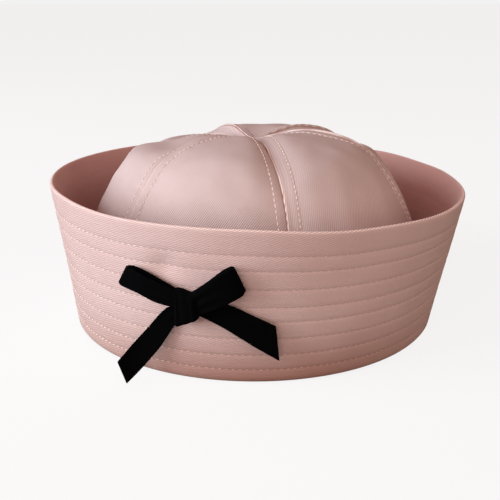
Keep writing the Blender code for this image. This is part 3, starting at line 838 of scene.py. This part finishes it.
def black_velvet(name):
    """Cut-pile velvet: it swallows light face on, and its pile shows a faint cool bloom at turned edges."""
    material, tree, shader = start_material(name, {
        "Roughness": 0.95, "IOR": 1.45, "Specular IOR Level": 0.05,
        "Sheen Weight": 0.01, "Sheen Roughness": 0.30, "Sheen Tint": linear("#8A90A6")})
    place = add_node(tree, "ShaderNodeTexCoord", {}, {})
    # Tufts of the pile, about 0.5 mm
    tufts = add_node(tree, "ShaderNodeTexNoise", {"Scale": 2000, "Detail": 2.0},
                     {"Vector": place.outputs["Object"]})
    # The pile lies one way and another in patches of about 6 mm
    brushed = add_node(tree, "ShaderNodeTexNoise", {"Scale": 160, "Detail": 2.0},
                       {"Vector": place.outputs["Object"]})
    mixed = add_node(tree, "ShaderNodeMath", {"operation": "MULTIPLY"},
                     {0: tufts.outputs["Fac"], 1: brushed.outputs["Fac"]})
    pile = add_node(tree, "ShaderNodeMix", {"data_type": "RGBA", 6: linear("#010102"), 7: linear("#09090B")},
                    {0: mixed.outputs["Value"]})
    raised = add_node(tree, "ShaderNodeBump", {"Strength": 0.5, "Distance": 0.00015},
                      {"Height": tufts.outputs["Fac"]})
    tree.links.new(pile.outputs[2], shader.inputs["Base Color"])
    tree.links.new(raised.outputs["Normal"], shader.inputs["Normal"])
    return material


def wall_point(azimuth, height, stand_off):
    """Point off the brim's outer face at an azimuth and a height, in the row frame."""
    share = height / BRIM_HEIGHT
    radius = FOOT_RADIUS + FLARE * share + stand_off
    lean = FOOT_LEAN * (1 - share)
    return Vector((radius * math.sin(azimuth) - lean, -radius * math.cos(azimuth), height)) + CAP_MIDDLE


def make_ribbon(name, steps_along, place, node):
    """A strip of ribbon laid by place(along, across), given its thickness and rounded edges."""
    strip = bmesh.new()
    bmesh.ops.create_grid(strip, x_segments=steps_along, y_segments=RIBBON_STEPS, size=0.5)
    for vertex in strip.verts:
        vertex.co = place(vertex.co.x + 0.5, vertex.co.y + 0.5)
    bmesh.ops.recalc_face_normals(strip, faces=strip.faces)
    ribbon = finish_piece(name, strip, velvet, "velvet_ribbon", node)
    wall = ribbon.modifiers.new("thickness", "SOLIDIFY")
    wall.thickness = RIBBON_WALL
    wall.offset = 0
    rounding = ribbon.modifiers.new("rounded_edges", "BEVEL")
    rounding.width = RIBBON_EDGE
    rounding.segments = 2
    return ribbon


def ribbon_place(edges, position, across, stand_off):
    """Point of a ribbon between its edges at a fractional row number, off the wall by so much."""
    row = {key: smooth_value(edges, key, position) / 1000 for key in EDGE_COLUMNS}
    arc = row["lower_arc"] + (row["upper_arc"] - row["lower_arc"]) * across
    rise = row["lower_rise"] + (row["upper_rise"] - row["lower_rise"]) * across
    return wall_point(BOW_AZIMUTH + arc / BOW_RADIUS, BOW_HEIGHT + rise, stand_off)


velvet = black_velvet("black_velvet_ribbon")
for side, edges in (("left", LEFT_LOOP), ("right", RIGHT_LOOP)):
    def place_loop(along, across):
        """The loop's ribbon, gathered where it enters the knot and rounded a little at its bend."""
        path = {key: smooth_value(LOOP_PATH, key, along * (len(LOOP_PATH) - 1)) for key in LOOP_PATH[0]}
        fold = LOOP_FOLD * math.cos(across * math.tau * LOOP_FOLDS)
        gather = fold * bump_at(path["along"], LOOP_FOLD_REACH)
        bend = 0.5 + (across - 0.5) * (1 - BEND_ROUNDING * bump_at(1 - path["along"], BEND_REACH))
        off = RIBBON_WALL * 1.5 + CLEARANCE * 2 + LOOP_BULGE * path["stand_off"] + gather
        return ribbon_place(edges, path["along"] * (len(edges) - 1), bend, off)

    ribbon = make_ribbon(f"bow_{side}_loop", LOOP_STEPS, place_loop, f"bow_loop_{side}")

for side, edges in (("left", LEFT_TAIL), ("right", RIGHT_TAIL)):
    def place_tail(along, across):
        """The tail's ribbon, gathered under the knot and cut straight at its free end."""
        position = along * (len(edges) - 1)
        gather = TAIL_FOLD * math.cos(across * math.tau * TAIL_FOLDS) * bump_at(along, TAIL_FOLD_REACH)
        off = RIBBON_WALL / 2 + CLEARANCE + smooth_value(edges, "stand_off", position) / 1000 + gather
        return ribbon_place(edges, position, across, off)

    ribbon = make_ribbon(f"bow_{side}_tail", TAIL_STEPS, place_tail, f"bow_tail_{side}")

# The knot: the ribbon's middle, gathered and wrapped once round the crossing, and pulled down to the left
KNOT_WIDTH = 0.0112
KNOT_LENGTH = 0.0146
KNOT_DEPTH = 0.0058
KNOT_ROUNDING = 0.0024
KNOT_WAIST = 0.10
KNOT_DROP = 0.0011
KNOT_SHEAR_ABOVE = -0.30
KNOT_SHEAR_BELOW = 0.42
KNOT_FOLD = 0.00042
KNOT_FOLDS = 2.6
KNOT_FOLD_SLANT = 0.35
KNOT_FOLD_START = 0.1
# The folds grow to full over this depth from the knot's middle
KNOT_FACE = 0.002

knot_shape = bmesh.new()
bmesh.ops.create_cube(knot_shape, size=1)
bmesh.ops.scale(knot_shape, vec=(KNOT_WIDTH, KNOT_DEPTH, KNOT_LENGTH), verts=knot_shape.verts)
bmesh.ops.bevel(knot_shape, geom=list(knot_shape.edges), offset=KNOT_ROUNDING, affect="EDGES", segments=4,
                profile=0.5, material=-1)
bmesh.ops.subdivide_edges(knot_shape, edges=knot_shape.edges, cuts=3, use_grid_fill=True)
bmesh.ops.triangulate(knot_shape, faces=[face for face in knot_shape.faces if len(face.verts) > 4])
for vertex in knot_shape.verts:
    across, up = vertex.co.x / KNOT_WIDTH, vertex.co.z / KNOT_LENGTH
    folds = KNOT_FOLD * math.cos((across * KNOT_FOLDS + KNOT_FOLD_SLANT * up + KNOT_FOLD_START) * math.tau)
    waist = 1 - KNOT_WAIST * math.cos(up * math.pi)
    shear = KNOT_SHEAR_ABOVE if up > 0 else KNOT_SHEAR_BELOW
    vertex.co.y += math.copysign(1, vertex.co.y) * folds * min(abs(vertex.co.y) / KNOT_FACE, 1)
    vertex.co.z += shear * vertex.co.x * min(abs(up) * 2, 1)
    vertex.co.x *= waist
bmesh.ops.rotate(knot_shape, verts=knot_shape.verts, cent=(0, 0, 0),
                 matrix=Matrix.Rotation(BOW_AZIMUTH, 3, "Z"))
knot_stand = RIBBON_WALL + 2 * CLEARANCE + KNOT_DEPTH / 2
bmesh.ops.translate(knot_shape, verts=knot_shape.verts,
                    vec=wall_point(BOW_AZIMUTH, BOW_HEIGHT - KNOT_DROP, knot_stand))
bmesh.ops.recalc_face_normals(knot_shape, faces=knot_shape.faces)
finish_piece("bow_wrapped_knot", knot_shape, velvet, "velvet_ribbon", "bow_knot")


# The shelf and the light. The cap lies on a wide white board lit from below, with three large soft panels
# round it and a dim warm room round them all.

SHELF_RADIUS = 30
SHELF_DROP = 0.0002
PANEL_DISTANCE = 1.6
PANEL_WIDTH = 1.2
PANEL_HEIGHT = 1.3


def white_board(name):
    """Matt white board, lit from below as a light table is, which throws little of that light on the cap."""
    material, tree, shader = start_material(name, {
        "Roughness": 1.0, "Specular IOR Level": 0.0, "Emission Color": linear("#FFFFFF")})
    ray = add_node(tree, "ShaderNodeLightPath", {}, {})
    board = add_node(tree, "ShaderNodeMix", {"data_type": "RGBA", 6: linear("#2A1E19"), 7: linear("#6A6A6A")},
                     {0: ray.outputs["Is Camera Ray"]})
    glow = add_node(tree, "ShaderNodeMath", {"operation": "MULTIPLY", 1: 0.84},
                    {0: ray.outputs["Is Camera Ray"]})
    tree.links.new(board.outputs[2], shader.inputs["Base Color"])
    tree.links.new(glow.outputs["Value"], shader.inputs["Emission Strength"])
    return material


shelf_shape = bmesh.new()
bmesh.ops.create_circle(shelf_shape, cap_ends=True, segments=64, radius=SHELF_RADIUS)
bmesh.ops.translate(shelf_shape, verts=shelf_shape.verts, vec=(0, 0, -SHELF_DROP))
shelf = make_object("shelf", shelf_shape, white_board("white_board"))

# The bright cool panel to the left lights the cap's side, and a warmer one to the front and a weak warm one
# to the right fill the shade
for name, azimuth, elevation, energy, colour in (
        ("window_left", -72, 15, 36.0, (0.88, 1.0, 1.05)),
        ("panel_front", -16, 16, 12.0, (1.0, 0.92, 0.89)),
        ("panel_right", 52, 14, 7.5, (1.0, 0.94, 0.78))):
    panel = bpy.data.objects.new(name, bpy.data.lights.new(name, "AREA"))
    panel.data.shape = "RECTANGLE"
    panel.data.size = PANEL_WIDTH
    panel.data.size_y = PANEL_HEIGHT
    panel.data.energy = energy
    panel.data.color = colour
    turn, lift = math.radians(azimuth), math.radians(elevation)
    towards = Vector((math.sin(turn) * math.cos(lift), -math.cos(turn) * math.cos(lift), math.sin(lift)))
    panel.location = PANEL_DISTANCE * towards
    panel.rotation_euler = (-panel.location).to_track_quat("-Z", "Y").to_euler()
    bpy.context.scene.collection.objects.link(panel)

world = bpy.data.worlds.new("dim_room")
bpy.context.scene.world = world
world.use_nodes = True
room = world.node_tree
# The room is lighter round the horizon than overhead
sky = add_node(room, "ShaderNodeTexCoord", {}, {})
level = add_node(room, "ShaderNodeSeparateXYZ", {}, {"Vector": sky.outputs["Generated"]})
overhead = add_node(room, "ShaderNodeMapRange",
                    {"From Min": 0.05, "From Max": 0.75, "To Min": 0.0, "To Max": 1.0},
                    {"Value": level.outputs["Z"]})
dim = add_node(room, "ShaderNodeMix", {"data_type": "RGBA", 6: linear("#A87A6C"), 7: linear("#8E645A")},
               {0: overhead.outputs["Result"]})
ray = add_node(room, "ShaderNodeLightPath", {}, {})
tint = add_node(room, "ShaderNodeMix", {"data_type": "RGBA", 7: linear("#F2F2F2")},
                {0: ray.outputs["Is Camera Ray"], 6: dim.outputs[2]})
room.links.new(tint.outputs[2], room.nodes["Background"].inputs["Color"])
bpy.context.scene.view_settings.view_transform = "Standard"


# The camera. It stands where a fit to the rim's and the foot's outlines puts it, 0.40 m in front of the cap's
# middle and 0.16 m up, and looks 18 degrees down.

SENSOR_WIDTH = 36
# The focal length as a share of the picture's width
FOCAL_SHARE = 773.5 / 500
CAMERA_PLACE = (-0.00194, -0.398035, 0.1605)
YAW = -0.005
PITCH = 0.3133

camera = bpy.data.objects.new("camera", bpy.data.cameras.new("camera"))
camera.data.lens = FOCAL_SHARE * SENSOR_WIDTH
camera.data.sensor_width = SENSOR_WIDTH
camera.location = CAMERA_PLACE
looking = Vector((math.sin(YAW) * math.cos(PITCH), math.cos(YAW) * math.cos(PITCH), -math.sin(PITCH)))
camera.rotation_euler = looking.to_track_quat("-Z", "Y").to_euler()
bpy.context.scene.collection.objects.link(camera)
bpy.context.scene.camera = camera
